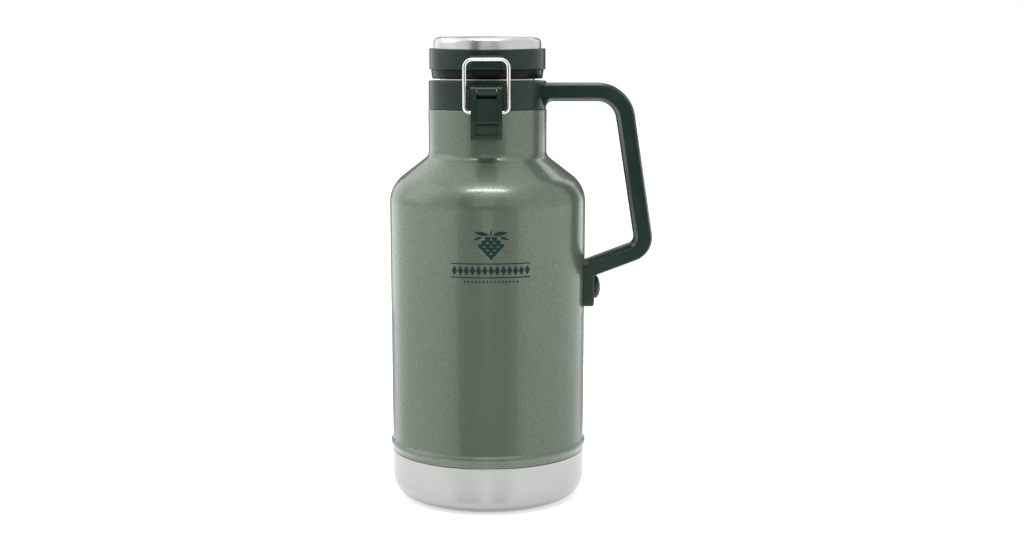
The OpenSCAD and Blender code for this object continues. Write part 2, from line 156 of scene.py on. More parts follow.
def shade(obj, sharp=32):
    obj.data.shade_smooth()
    obj.data.set_sharp_from_angle(angle=math.radians(sharp))
    return obj


def turned(name, outline, segments=TURN, sharp=32, shape=None):
    """Turns a closed outline of (radius, height) round Z; shape may move a point, given its angle."""
    bm = bmesh.new()
    rings = []
    for r, z in outline:
        if r < 1e-6:
            rings.append([bm.verts.new((0, 0, z))])
            continue
        ring = []
        for k in range(segments):
            a = 2 * math.pi * k / segments
            rr, zz = shape(r, z, a) if shape else (r, z)
            ring.append(bm.verts.new((rr * math.cos(a), rr * math.sin(a), zz)))
        rings.append(ring)
    for i, ring in enumerate(rings):
        other = rings[(i + 1) % len(rings)]
        if len(ring) == 1 and len(other) == 1:
            continue
        for k in range(segments):
            j = (k + 1) % segments
            corners = [ring[k % len(ring)], ring[j % len(ring)], other[j % len(other)], other[k % len(other)]]
            corners = list(dict.fromkeys(corners))
            if len(corners) >= 3:
                bm.faces.new(corners)
    return mesh_object(name, bm, sharp)


def prism(name, outline, low, high, along="x"):
    """A flat outline given depth: (y, z) points along X, or (x, y) points along Z."""
    bm = bmesh.new()
    ends = [[bm.verts.new((d, p, q) if along == "x" else (p, q, d)) for p, q in outline]
            for d in (low, high)]
    for end in ends:
        bm.faces.new(end)
    n = len(outline)
    for k in range(n):
        j = (k + 1) % n
        bm.faces.new([ends[0][k], ends[0][j], ends[1][j], ends[1][k]])
    return mesh_object(name, bm)


def rod(name, y, z, r, x0, x1, n=48):
    """A round rod along X."""
    return prism(name, [(y + r * math.cos(a), z + r * math.sin(a))
                        for a in (2 * math.pi * k / n for k in range(n))], x0, x1)


def tube(name, path, r, sides=24):
    """A round tube along a path that keeps close to an XZ plane, its ends capped."""
    bm = bmesh.new()
    rings = []
    for i, p in enumerate(path):
        ahead = path[min(i + 1, len(path) - 1)] - path[max(i - 1, 0)]
        side = Vector((0, 1, 0))
        up = ahead.normalized().cross(side).normalized()
        rings.append([bm.verts.new(p + r * (math.cos(a) * side + math.sin(a) * up))
                      for a in (2 * math.pi * k / sides for k in range(sides))])
    for one, two in zip(rings, rings[1:]):
        for k in range(sides):
            j = (k + 1) % sides
            bm.faces.new([one[k], one[j], two[j], two[k]])
    bm.faces.new(rings[0])
    bm.faces.new(rings[-1])
    return mesh_object(name, bm)


def apply_modifiers(obj):
    """Bakes an object's modifiers into its mesh."""
    bpy.context.view_layer.update()
    seen = obj.evaluated_get(bpy.context.evaluated_depsgraph_get())
    mesh = bpy.data.meshes.new_from_object(seen)
    old = obj.data
    obj.modifiers.clear()
    obj.data = mesh
    mesh.name = obj.name
    bpy.data.meshes.remove(old)
    return obj


def cut(obj, tool, operation="DIFFERENCE"):
    """A boolean with a tool that is used up."""
    step = obj.modifiers.new("cut", "BOOLEAN")
    step.operation, step.solver, step.object = operation, "EXACT", tool
    apply_modifiers(obj)
    bpy.data.objects.remove(tool)
    return obj


def join(obj, tool):
    return cut(obj, tool, "UNION")


def bored(obj, y, z, r):
    """A bore along X, right through the piece."""
    reach = 20
    return cut(obj, rod("bore", y, z, r, -reach, reach))


def eased(obj, width, angle=40, segments=3):
    """Breaks the sharp edges of a moulding by a small round, width in millimetres."""
    step = obj.modifiers.new("ease", "BEVEL")
    step.width, step.segments, step.limit_method = width * MM, segments, "ANGLE"
    step.angle_limit = math.radians(angle)
    step.use_clamp_overlap = True
    apply_modifiers(obj)
    return shade(obj, 50)


def polished(obj, name):
    """Names a moulding and evens out the shading that its booleans left."""
    obj.name = obj.data.name = name
    shade(obj, 38)
    step = obj.modifiers.new("normals", "WEIGHTED_NORMAL")
    step.keep_sharp, step.weight = True, 90
    return apply_modifiers(obj)


def finish_piece(obj, body, slot, mat, *nodes):
    """Gives a piece its material, the body it rides and the CAD nodes it stands for."""
    obj.data.materials.clear()
    obj.data.materials.append(mat)
    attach(obj, body)
    if nodes:
        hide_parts(*nodes)
    return obj


# ---------------------------------------------------------------- materials

class Look:
    """A node material with a Principled shader, and short calls for the nodes that feed it."""

    def __init__(self, name, **values):
        self.mat = bpy.data.materials.new(name)
        self.mat.use_nodes = True
        self.tree = self.mat.node_tree
        self.bsdf = self.tree.nodes["Principled BSDF"]
        for key, value in values.items():
            self.bsdf.inputs[key.replace("_", " ")].default_value = value
        self.coords = self.node("ShaderNodeTexCoord").outputs["Object"]

    def node(self, kind, **settings):
        node = self.tree.nodes.new(kind)
        for key, value in settings.items():
            setattr(node, key, value)
        return node

    def link(self, out, into):
        self.tree.links.new(out, into)

    def spaced(self, scale):
        """Object coordinates stretched by a vector, for grain that runs one way."""
        mapping = self.node("ShaderNodeMapping")
        mapping.inputs["Scale"].default_value = scale
        self.link(self.coords, mapping.inputs["Vector"])
        return mapping.outputs["Vector"]

    def noise(self, scale, detail=3.0, roughness=0.55, vector=None):
        node = self.node("ShaderNodeTexNoise")
        node.inputs["Scale"].default_value = scale
        node.inputs["Detail"].default_value = detail
        node.inputs["Roughness"].default_value = roughness
        self.link(vector or self.coords, node.inputs["Vector"])
        return node.outputs["Fac"]

    def cells(self, scale, smooth=0.6):
        node = self.node("ShaderNodeTexVoronoi", feature="SMOOTH_F1")
        node.inputs["Scale"].default_value = scale
        node.inputs["Smoothness"].default_value = smooth
        self.link(self.coords, node.inputs["Vector"])
        return node.outputs["Distance"]

    def ramp(self, source, *stops):
        node = self.node("ShaderNodeValToRGB")
        while len(node.color_ramp.elements) < len(stops):
            node.color_ramp.elements.new(0.5)
        for element, (place, colour) in zip(node.color_ramp.elements, stops):
            element.position = place
            element.color = (*colour, 1)
        self.link(source, node.inputs["Fac"])
        return node.outputs["Color"]

    def span(self, source, low, high, from_low=0.3, from_high=0.7):
        """A texture's value brought to the range low to high."""
        node = self.node("ShaderNodeMapRange")
        limits = {"From Min": from_low, "From Max": from_high, "To Min": low, "To Max": high}
        for key, value in limits.items():
            node.inputs[key].default_value = value
        self.link(source, node.inputs["Value"])
        return node.outputs["Result"]

    def mix(self, a, b, share):
        """Colours or sockets a and b, mixed by a number or a socket."""
        node = self.node("ShaderNodeMix", data_type="RGBA")
        factor, first, second = node.inputs[0], node.inputs[6], node.inputs[7]
        if isinstance(share, (int, float)):
            factor.default_value = share
        else:
            self.link(share, factor)
        for value, into in ((a, first), (b, second)):
            if isinstance(value, tuple):
                into.default_value = (*value, 1)
            else:
                self.link(value, into)
        return node.outputs[2]

    def bump(self, height, strength, distance_mm, below=None):
        node = self.node("ShaderNodeBump")
        node.inputs["Strength"].default_value = strength
        node.inputs["Distance"].default_value = distance_mm * MM
        self.link(height, node.inputs["Height"])
        if below:
            self.link(below, node.inputs["Normal"])
        return node.outputs["Normal"]

    def set(self, socket, source):
        self.link(source, self.bsdf.inputs[socket])


def hammered_paint():
    """Grey-green hammered enamel: fine soft cells of metal flake under a clear gloss."""
    look = Look("hammered_paint", Metallic=0.62, Coat_Weight=0.5, Coat_Roughness=0.11, Coat_IOR=1.5)
    warp = look.noise(420, 2)
    cell = look.cells(620)
    fine = look.noise(1900, 2)
    patch = look.noise(28, 3)
    light, dark = (0.134, 0.174, 0.133), (0.097, 0.131, 0.097)
    tone = look.ramp(cell, (0.15, light), (0.75, dark))
    tone = look.mix(tone, (0.118, 0.149, 0.115), look.span(warp, 0.0, 0.6))
    tone = look.mix(tone, (0.151, 0.182, 0.147), look.span(fine, 0.0, 0.25, 0.55, 0.8))
    tone = look.mix(tone, (0.104, 0.135, 0.102), look.span(patch, 0.0, 0.3))
    look.set("Base Color", tone)
    look.set("Roughness", look.span(cell, 0.30, 0.42, 0.1, 0.8))
    dimples = look.bump(cell, 0.17, 0.25)
    look.set("Normal", look.bump(fine, 0.10, 0.05, dimples))
    return look.mat


def brushed_steel(name, tone=(0.39, 0.39, 0.387), rough=(0.20, 0.31), strength=0.10):
    """Stainless steel with fine lines that run round the piece."""
    look = Look(name, Metallic=1.0, Anisotropic=0.45)
    lines = look.noise(1, 4, 0.6, look.spaced((9, 9, 5200)))
    coarse = look.noise(1, 2, 0.5, look.spaced((4, 4, 900)))
    smudge = look.noise(30, 3)
    darker = tuple(0.86 * c for c in tone)
    base = look.mix(tone, darker, look.span(lines, 0.0, 0.55))
    base = look.mix(base, tuple(1.06 * c for c in tone), look.span(coarse, 0.0, 0.4))
    look.set("Base Color", base)
    fine, dull = rough
    grain = look.mix(look.span(lines, fine, dull), (dull,) * 3, 0.2)
    look.set("Roughness", look.mix(grain, (fine,) * 3, look.span(smudge, 0.0, 0.5)))
    look.set("Normal", look.bump(lines, strength, 0.02))
    return look.mat


def turned_steel(name, tone, rough):
    """Steel wire, pins and pressings: satin, with a faint random haze."""
    look = Look(name, Metallic=1.0)
    haze = look.noise(700, 3)
    large = look.noise(60, 2)
    look.set("Base Color", look.mix(tone, tuple(0.84 * c for c in tone), look.span(haze, 0.0, 0.5)))
    look.set("Roughness", look.span(large, rough - 0.05, rough + 0.07))
    look.set("Normal", look.bump(haze, 0.06, 0.03))
    return look.mat


def moulded(name, tone, rough, grain=1500, strength=0.10, gloss=0.26):
    """Moulded plastic with a fine spark-eroded grain and slightly polished patches."""
    look = Look(name, Specular_IOR_Level=gloss)
    texture = look.noise(grain, 3, 0.6)
    cloud = look.noise(45, 3)
    deep = tuple(0.80 * c for c in tone)
    pale = tuple(min(1.0, 1.22 * c + 0.002) for c in tone)
    base = look.mix(deep, tone, look.span(texture, 0.0, 1.0))
    look.set("Base Color", look.mix(base, pale, look.span(cloud, 0.0, 0.45)))
    look.set("Roughness", look.span(cloud, rough - 0.05, rough + 0.06))
    look.set("Normal", look.bump(texture, strength, 0.05))
    return look.mat


def foamed(name, tone):
    """Open foam with fine darker pores."""
    look = Look(name, Roughness=0.9)
    pores = look.cells(900, smooth=0.2)
    look.set("Base Color", look.ramp(pores, (0.1, tuple(0.6 * c for c in tone)), (0.5, tone)))
    look.set("Normal", look.bump(pores, 0.5, 0.3))
    return look.mat


def printed_ink():
    """Screen-printed ink, slightly worn so that the paint's grain shows in it."""
    look = Look("printed_ink", Specular_IOR_Level=0.12)
    wear = look.noise(900, 4, 0.65)
    full, worn = (0.0050, 0.021, 0.019), (0.013, 0.038, 0.034)
    look.set("Base Color", look.mix(full, worn, look.span(wear, 0.0, 1.0, 0.4, 0.75)))
    look.set("Roughness", look.span(wear, 0.38, 0.55))
    look.set("Normal", look.bump(look.cells(620), 0.15, 0.2))
    return look.mat


PAINT = hammered_paint()
BASE_STEEL = brushed_steel("base_steel")
CAP_STEEL = brushed_steel("cap_steel", tone=(0.57, 0.567, 0.563), rough=(0.20, 0.32), strength=0.06)
LINER_STEEL = brushed_steel("liner_steel", tone=(0.55, 0.55, 0.545), rough=(0.25, 0.38))
PLAIN_STEEL = turned_steel("plain_steel", (0.52, 0.52, 0.53), 0.33)
PIN_STEEL = turned_steel("pin_steel", (0.58, 0.58, 0.58), 0.25)
WIRE_STEEL = turned_steel("wire_steel", (0.80, 0.775, 0.75), 0.22)
GREEN = moulded("green_moulding", (0.0085, 0.0225, 0.0150), 0.27)
CHARCOAL = moulded("charcoal_moulding", (0.0065, 0.0055, 0.0068), 0.26, gloss=0.10)
SILICONE = moulded("silicone", (0.035, 0.035, 0.036), 0.55, 600, 0.05)
SOLDER = turned_steel("solder", (0.45, 0.45, 0.47), 0.45)
GETTER = turned_steel("getter_metal", (0.20, 0.20, 0.22), 0.6)
FOAM = foamed("foam", (0.78, 0.74, 0.60))
INK = printed_ink()


# ---------------------------------------------------------------- pieces of the vessel

def body_radius(z):
    """Outer radius of the painted body, which widens a little towards the shoulder."""
    t = (z - BEAD_Z - 3) / (SHOULDER_Z - BEAD_Z - 3)
    return BODY_LOW_R + (BODY_R - BODY_LOW_R) * min(max(t, 0), 1)


def shell():
    """Painted outer wall: rolled bead, body, shoulder and neck, stepped in under the collar."""
    wall, bead_half, n = 0.6, 3.0, 14
    out = BEAD_R - BODY_LOW_R
    spigot_r, spigot_low = CUP_R - 1.2, 15.1        # the end that stands inside the cup
    step_r, mouth_r, rim_z = 34.3, 31.0, MOUTH_Z - 1        # the neck's step and end, under the collar

    def side(t):
        swell = [(BODY_LOW_R - t + out * math.sin(math.pi * i / n) ** 1.15,
                  BEAD_Z - bead_half + 2 * bead_half * i / n) for i in range(n + 1)]
        return swell + shoulder(BODY_R - t, SHOULDER_Z, SHOULDER_BEND - t, NECK_R - t, NECK_FILLET + t,
                                SHOULDER_SLOPE)

    low = SEAM_Z + 0.2
    foot = [(spigot_r, spigot_low), (spigot_r, low), (BODY_LOW_R - 0.45, low),
            (BODY_LOW_R - 0.12, low + 0.15), (BODY_LOW_R, low + 0.5)]
    top = COLLAR_LOW_Z - 0.2
    neck = arc(NECK_R - 0.8, top - 0.8, 0.8, 0, 90, 6) + [
        (step_r, top), (step_r, BORE_TOP_Z - 0.2), (mouth_r, LIP_LOW_Z - 0.1), (mouth_r, rim_z),
        (mouth_r - wall, rim_z), (mouth_r - wall, LIP_LOW_Z - 0.5), (step_r - wall, BORE_TOP_Z - 0.6),
        (step_r - wall, top - wall), (NECK_R - wall, top - wall)]
    inner = list(reversed(side(wall))) + [(BODY_LOW_R - wall, low + wall), (spigot_r - wall, low + wall),
                                         (spigot_r - wall, spigot_low)]
    return turned("painted_shell", foot + side(0) + neck + inner, 256, 40)


def base_cup():
    """Bare steel cup with a wide corner, a foot ring and a recess with a pressed step."""
    bend, t, lip = 15, 1.0, 0.35
    ring_r, recess_r, step_r = 44, 41.2, 24
    outline = [(CUP_R - t, SEAM_Z)] + arc(CUP_R - lip, SEAM_Z - lip, lip, 90, 0, 4)
    outline += arc(CUP_R - bend, bend, bend, 0, -90, 28)
    outline += arc(ring_r, 0.8, 0.8, -90, -150, 4) + arc(recess_r, 1.2, 0.8, 30, 90, 4)
    outline += [(step_r, 2), (step_r - 1, 2.5), (0, 2.5), (0, 3), (ring_r - 1.6, 3), (ring_r + 0.4, 1)]
    outline += arc(CUP_R - bend, bend, bend - t, -90, 0, 20)
    return turned("base_band", outline, 224, 40)


# The handle: its bar's thickness and depth, and its centre line, given by where the straight stretches run
# and how they lean.
BAR_T, BAR_D = 12.0, 23.0
ARM_Z = 269.2                           # upper arm, level
GRIP_X, GRIP_LEAN = 88.1, math.radians(8.8)     # grip, where it would cross the upper arm
CROSS_Z, ARM_SLOPE = 166.7, math.radians(20.5)  # lower arm, where it would cross the grip
UPPER_BEND, LOWER_BEND = 19.0, 10.5
FOOT_X, FOOT_LOW_Z = 70.4, 127.7        # outer face and lower end of the foot
STUD_Z = 140.0


def handle_stations():
    """Points along the handle with their direction, in the XZ plane: [(x, z, angle)]."""
    turn_up, turn_low = math.pi / 2 - GRIP_LEAN, math.pi / 2 + GRIP_LEAN - ARM_SLOPE
    up = Vector((GRIP_X - UPPER_BEND * math.tan(turn_up / 2), ARM_Z - UPPER_BEND))
    lean = Vector((math.cos(GRIP_LEAN), math.sin(GRIP_LEAN)))
    down = Vector((math.sin(GRIP_LEAN), -math.cos(GRIP_LEAN)))
    cross = Vector((GRIP_X + (ARM_Z - CROSS_Z) * math.tan(GRIP_LEAN), CROSS_Z))
    low = cross - LOWER_BEND * math.tan(turn_low / 2) * down - LOWER_BEND * lean
    stations = []

    def straight(a, b, angle, step=2.0):
        n = max(2, int((b - a).length / step))
        stations.extend((*(a + (b - a) * i / n), angle) for i in range(n))

    def turn(centre, r, a0, a1, n):
        for i in range(n):
            a = a0 + (a1 - a0) * i / n
            stations.append((centre.x + r * math.cos(a), centre.y + r * math.sin(a), a - math.pi / 2))

    root = Vector((COLLAR_R - 2.5, ARM_Z))
    straight(root, Vector((up.x, ARM_Z)), 0.0, 0.8)
    turn(up, UPPER_BEND, math.pi / 2, GRIP_LEAN, 22)
    end_up, start_low = up + UPPER_BEND * lean, low + LOWER_BEND * lean
    straight(end_up, start_low, GRIP_LEAN - math.pi / 2, 3.0)
    turn(low, LOWER_BEND, GRIP_LEAN, ARM_SLOPE - math.pi / 2, 18)
    last = low + LOWER_BEND * Vector((math.sin(ARM_SLOPE), -math.cos(ARM_SLOPE)))
    inward = Vector((-math.cos(ARM_SLOPE), -math.sin(ARM_SLOPE)))
    straight(last, last + inward * (last.x - BODY_R + 3) / math.cos(ARM_SLOPE), ARM_SLOPE - math.pi, 1.0)
    return stations


def bar_section(flare):
    """The handle's section in (outward, depth): flat front and back, drafted sides, a fine groove along each
    edge of its inner land."""
    t, d, land = BAR_T / 2, BAR_D / 2, 5.0
    low, inner, outer = -t - flare, -t - flare + 2.3, t - 1.5
    half = [(outer, d, 0.9), (inner, d, 0.9), (low + 0.35, land + 0.7, 0.2), (low + 0.75, land + 0.35, 0.1),
            (low + 0.1, land - 0.1, 0.2), (low, land - 1.2, 1.0)]
    mirrored = [(u, -v, r) for u, v, r in reversed(half)]
    return rounded(half + mirrored + [(t, -land, 3.0), (t, land, 3.0)], 4)


def handle_bar():
    """The bar swept along its centre line, flared into a fillet where it leaves the collar."""
    fillet = ARM_Z - BAR_T / 2 - COLLAR_LOW_Z - 0.3
    bm = bmesh.new()
    rings = []
    for x, z, angle in handle_stations():
        reach = x - COLLAR_R + 0.4
        on_arm = angle == 0.0 and reach < fillet
        flare = fillet - math.sqrt(fillet ** 2 - (fillet - max(reach, 0)) ** 2) if on_arm else 0.0
        out = Vector((-math.sin(angle), 0, math.cos(angle)))
        rings.append([bm.verts.new(Vector((x, d, z)) + out * u) for u, d in bar_section(flare)])
    for one, two in zip(rings, rings[1:]):
        n = len(one)
        for k in range(n):
            j = (k + 1) % n
            bm.faces.new([one[k], one[j], two[j], two[k]])
    bm.faces.new(rings[0])
    bm.faces.new(rings[-1])
    return mesh_object("handle_bar", bm, 40)


def handle_foot():
    """Pad against the body, rounded all round its outer face."""
    d, high = BAR_D / 2, FOOT_LOW_Z + 30
    outline = rounded([(-d, FOOT_LOW_Z, 5), (d, FOOT_LOW_Z, 5), (d, high, 3), (-d, high, 3)], 8)
    return eased(prism("foot_pad", outline, BODY_LOW_R - 3, FOOT_X), 1.7, 40, 5)


def collar_ring():
    """Plain ring round the neck, with a lip over the neck's step."""
    low, top = COLLAR_LOW_Z, COLLAR_TOP_Z
    outline = rounded([(BORE_R, low, 0), (COLLAR_R, low, 0.5), (COLLAR_R, top, 0.9),
                       (LIP_R, top, 0.4), (LIP_R, LIP_LOW_Z, 0), (BORE_R, BORE_TOP_Z, 0)], 5)
    return turned("collar_ring", outline, TURN, 40)


def latch_bracket():
    """Web and barrel in front of the collar, on which the lever turns."""
    r, root = 3.6, 2 - COLLAR_R
    web = prism("web", [(LEVER_Y, LEVER_Z - 3.3), (root, LEVER_Z - 5.4), (root, LEVER_Z + 4.6),
                        (LEVER_Y, LEVER_Z + 3.5)], -BARREL_HALF, BARREL_HALF)
    barrel = rod("barrel", LEVER_Y, LEVER_Z, r, -BARREL_HALF, BARREL_HALF)
    return eased(join(web, barrel), 0.35)


def hinge_ears():
    """The collar's two knuckles behind, each on a gusset."""
    root, low, top = 35, 263.6, COLLAR_TOP_Z - 0.3
    outline = rounded([(root, low, 0), (38.6, low, 1.5), (HINGE_Y + 3.3, HINGE_Z - 1.8, 1.5),
                       (HINGE_Y + 1, HINGE_Z + 1, 0), (HINGE_Y - 3.6, HINGE_Z, 0),
                       (HINGE_Y - 3.6, top, 0.8), (root, top, 0)], 4)
    ears = []
    for side in (-1, 1):
        x0, x1 = sorted((side * (HALF_KNUCKLE + 0.2), side * KNUCKLE_END))
        knuckle = rod("knuckle", HINGE_Y, HINGE_Z, KNUCKLE_R, x0, x1)
        ears.append(eased(join(prism("gusset", outline, x0, x1), knuckle), 0.4))
    return ears


def collar_and_handle():
    """Collar, handle, bracket and ears in one moulding, hollowed for the neck, body, pins and nut."""
    piece = join(collar_ring(), handle_bar())
    piece = join(piece, handle_foot())
    for part in [latch_bracket()] + hinge_ears():
        piece = join(piece, part)
    under, over = 250, 290          # past the collar's lower and upper end
    neck = [(0, under), (BORE_R, under), (BORE_R, BORE_TOP_Z), (LIP_R, LIP_LOW_Z), (LIP_R, over),
            (0, over)]
    piece = cut(piece, turned("neck", neck, TURN))
    body = [(0, 60), (BODY_LOW_R + 0.45, 60), (BODY_R + 0.1, SHOULDER_Z), (BODY_R + 0.1, 210), (0, 210)]
    piece = cut(piece, turned("body", body, TURN))
    piece = bored(piece, HINGE_Y, HINGE_Z, 1.5)
    piece = bored(piece, LEVER_Y, LEVER_Z, 1.4)
    piece = cut(piece, rod("flange_pocket", 0, STUD_Z, 4.5, BODY_R - 3, BODY_R + 1.5))
    piece = cut(piece, rod("stud_hole", 0, STUD_Z, 2.7, BODY_R - 3, FOOT_X))
    piece = cut(piece, rod("nut_pocket", 0, STUD_Z, 5.8, FOOT_X - 2.8, FOOT_X + 1))
    return polished(piece, "collar_and_handle")


def nut_cover():
    """Low dome over the nut, with a fine step round its edge."""
    high = span("nut_cover")[1]
    r, base, top = high.y, FOOT_X, high.x
    outline = [(5.1, base - 1.2), (5.7, base - 1.2), (5.7, base + 0.06)]        # spigot in the nut's pocket
    outline += rounded([(r, base + 0.06, 0.3), (r, base + 1.1, 0.3), (r - 0.25, base + 1.3, 0.2)], 3)[3:-1]
    n = 16
    outline += [((r - 0.3) * math.cos(a), base + 1.35 + (top - base - 1.35) * math.sin(a))
                for a in (math.pi / 2 * i / n for i in range(1, n + 1))]
    outline[-1] = (0, top)
    outline += [(0, base + 2.8), (3.4, base + 2.7), (5.1, base + 1.6)]          # hollow over the nut
    piece = turned("nut_cover_dome", outline, 96, 40)
    piece.data.transform(Matrix.Translation((0, 0, STUD_Z * MM)) @ Matrix.Rotation(math.pi / 2, 4, "Y"))
    return piece


# ---------------------------------------------------------------- pieces of the lid

def ring_dip(r, z, a):
    """The ring's upper edge dips towards the front."""
    start, depth = RING_LOW_Z + 9, 1.1
    if z < start:
        return r, z
    front = 0.5 - 0.5 * math.sin(a)
    return r, z - depth * front ** 3 * min(1, (z - start) / 4)


def lid_catch():
    """Hook for the bail, open upwards, bevelled at its sides."""
    low, lip, front, root = RING_LOW_Z, RING_LOW_Z + 9, ring_low.y, 2 - RING_R
    half, ramp = 10.8, 2.6
    side = rounded([(root, low, 0), (front, low, 0.9), (front, lip - 1.6, 0.8), (front + 1.3, lip, 0.5),
                    (front + 2.2, lip - 0.3, 0.3), (front + 2.2, low + 5.2, 0.6), (root, low + 5.2, 0)], 4)
    hook = prism("hook", side, -half, half)
    plan = [(-half, -RING_R + 3), (-half, front + 1.8), (ramp - half, front - 0.1),
            (half - ramp, front - 0.1), (half, front + 1.8), (half, -RING_R + 3)]
    hook = cut(hook, prism("plan", plan, low - 1, lip + 2, "z"), "INTERSECT")
    return eased(hook, 0.35, 30)


def lid_knuckle():
    """Arm and knuckle behind the ring, between the collar's two."""
    outline = rounded([(35.3, RING_LOW_Z + 1, 0), (35.3, RING_TOP_Z - 2.5, 0), (38.5, RING_TOP_Z - 3, 1.2),
                       (HINGE_Y + 3.3, HINGE_Z + 2, 1.5), (HINGE_Y + 2, HINGE_Z - 2, 0),
                       (HINGE_Y - 3.4, HINGE_Z + 1.6, 0)], 5)
    arm = prism("arm", outline, -HALF_KNUCKLE, HALF_KNUCKLE)
    knuckle = rod("barrel", HINGE_Y, HINGE_Z, KNUCKLE_R, -HALF_KNUCKLE, HALF_KNUCKLE)
    return eased(join(arm, knuckle), 0.4)


def lid_ring():
    """Moulded ring with a ledge under the cap, the catch in front and the knuckle behind."""
    ledge, hole_r, seat_r = RING_TOP_Z - 5, 33, CAP_R + 0.2
    screw_circle, screw_hole = 34.5, 0.9
    outline = rounded([(hole_r, RING_LOW_Z, 0.3), (RING_R, RING_LOW_Z, 0.5), (RING_R, RING_TOP_Z, 0.8),
                       (seat_r, RING_TOP_Z, 0.3), (seat_r, ledge, 0), (hole_r, ledge, 0)], 5)
    piece = turned("ring", outline, TURN, 40, ring_dip)
    piece = join(piece, lid_catch())
    piece = join(piece, lid_knuckle())
    inside = [(0, RING_LOW_Z - 3), (hole_r, RING_LOW_Z - 3), (hole_r, ledge), (seat_r, ledge),
              (seat_r, RING_TOP_Z + 5), (0, RING_TOP_Z + 5)]
    piece = cut(piece, turned("inside", inside, TURN))
    piece = bored(piece, HINGE_Y, HINGE_Z, 1.55)
    for k in range(4):
        a = math.radians(45 + 90 * k)
        x, y = screw_circle * math.cos(a), screw_circle * math.sin(a)
        hole = [(x + screw_hole * math.cos(b), y + screw_hole * math.sin(b))
                for b in (2 * math.pi * i / 16 for i in range(16))]
        piece = cut(piece, prism("hole", hole, RING_LOW_Z - 2, ledge + 1, "z"))
    return polished(piece, "lid_ring_moulding")


def lid_cap():
    """Pressed steel cap: straight skirt, round shoulder and a slightly crowned top."""
    t, bend, crown, low, n = 0.6, 4.0, 0.35, cap_low.z, 12
    top = [((CAP_R - bend) * (1 - i / n), CAP_TOP_Z - crown * (1 - i / n) ** 2) for i in range(n + 1)]
    outline = [(CAP_R - t, low), (CAP_R, low)] + arc(CAP_R - bend, CAP_TOP_Z - bend - crown, bend, 0, 90, 16)
    outline += top[1:] + [(r, z - t) for r, z in reversed(top[1:])]
    outline += arc(CAP_R - bend, CAP_TOP_Z - bend - crown, bend - t, 90, 0, 10)
    return turned("steel_cap", outline, TURN, 40)


def lid_core():
    """Charcoal core: tapered skirt, groove for the gasket and the hollow plug."""
    low, wall = span("lid_core")[0].z, 1.6
    roof, skirt, top, deck = MOUTH_Z + 2.5, MOUTH_Z - 0.1, RING_TOP_Z - 5.2, RING_LOW_Z - 0.05
    plug_r, taper_z, groove_r, hollow_z = 26.6, 275, 32.6, 282.1
    outline = [(0, low)] + arc(24.1, low + 1.2, 1.2, -90, -5, 6)
    outline += [(plug_r, taper_z), (plug_r, roof), (groove_r, roof)]
    outline += [(groove_r, skirt + 0.3), (32.9, skirt), (35.7, skirt), (36.1, skirt + 0.4),
                (36.85, deck - 0.35), (36.6, deck), (32.8, deck), (32.8, top), (31.2, top)]
    outline += [(31.2, hollow_z), (plug_r - wall, hollow_z), (plug_r - wall, taper_z),
                (23.7, low + wall), (0, low + wall)]
    return turned("charcoal_core", outline, TURN, 40)


# ---------------------------------------------------------------- pieces of the latch

def latch_lever():
    """Lever: two ears, a plate sunk between two rails, a ledge and a scooped finger tab with a proud lip."""
    low, high = span("latch_lever")
    half, rail, sink, lean = high.x, 2.4, 0.9, 2.4
    front, back = LEVER_Y - 3.9, LEVER_Y + 3.6
    plate_z, scoop_z, tip_z = LEVER_Z - 4.8, LEVER_Z - 19.8, low.z
    lip = front - lean

    side = rounded([(back, LEVER_Z, 0), (back, 254, 3), (BAIL_Y - 0.2, 247.2, 3),
                    (front + 1.2, tip_z + 0.9, 0.4), (lip + 0.4, tip_z, 0.5), (lip, tip_z + 1.4, 0.6),
                    (front, scoop_z, 1.5), (front, LEVER_Z, 0)], 4)
    piece = join(prism("rail", side, -half, rail - half), prism("rail", side, half - rail, half))
    for s in (-1, 1):
        x0, x1 = sorted((s * half, s * (BARREL_HALF + 0.3)))
        piece = join(piece, rod("ear", LEVER_Y, LEVER_Z, 3.9, x0, x1))
        piece = join(piece, prism("cheek", [(back, plate_z - 1), (front, plate_z - 1), (front, LEVER_Z),
                                            (back, LEVER_Z)], x0, x1))
    plate = [(front + sink, scoop_z - 1), (front + 2.4, scoop_z - 1), (front + 2.4, plate_z),
             (front + sink + 0.7, plate_z), (front + sink, plate_z - 0.7)]
    piece = join(piece, prism("plate", plate, -half + 0.5, half - 0.5))
    ledge, lip_low, lip_top = scoop_z + 0.75, tip_z + 2.4, tip_z + 3.7
    lean_y = front - lean * (scoop_z - lip_low) / (scoop_z - tip_z - 1.4)
    tab = [(front + 0.9, ledge + 0.1), (front + 2.9, ledge + 0.1), (front + 2.9, 247),
           (front + 1.2, tip_z + 0.9), (lip + 0.4, tip_z), (lip, tip_z + 1.4), (front + 0.05, scoop_z + 0.1)]
    piece = join(piece, prism("tab", tab, -half + 0.5, half - 0.5))
    outside = front - 12
    scoop = [(outside, scoop_z - 0.5), (front + 0.9, scoop_z - 0.5), (front + 1.5, scoop_z - 1.1),
             (lip + 2.2, lip_top), (lean_y - 0.1, lip_low), (outside, lip_low)]
    piece = cut(piece, prism("scoop", scoop, -half + 2.5, half - 2.5))
    piece = eased(piece, 0.45, 28)
    piece = bored(piece, LEVER_Y, LEVER_Z, 1.45)
    piece = bored(piece, BAIL_Y, BAIL_Z, 1.3)
    return polished(piece, "lever_moulding")


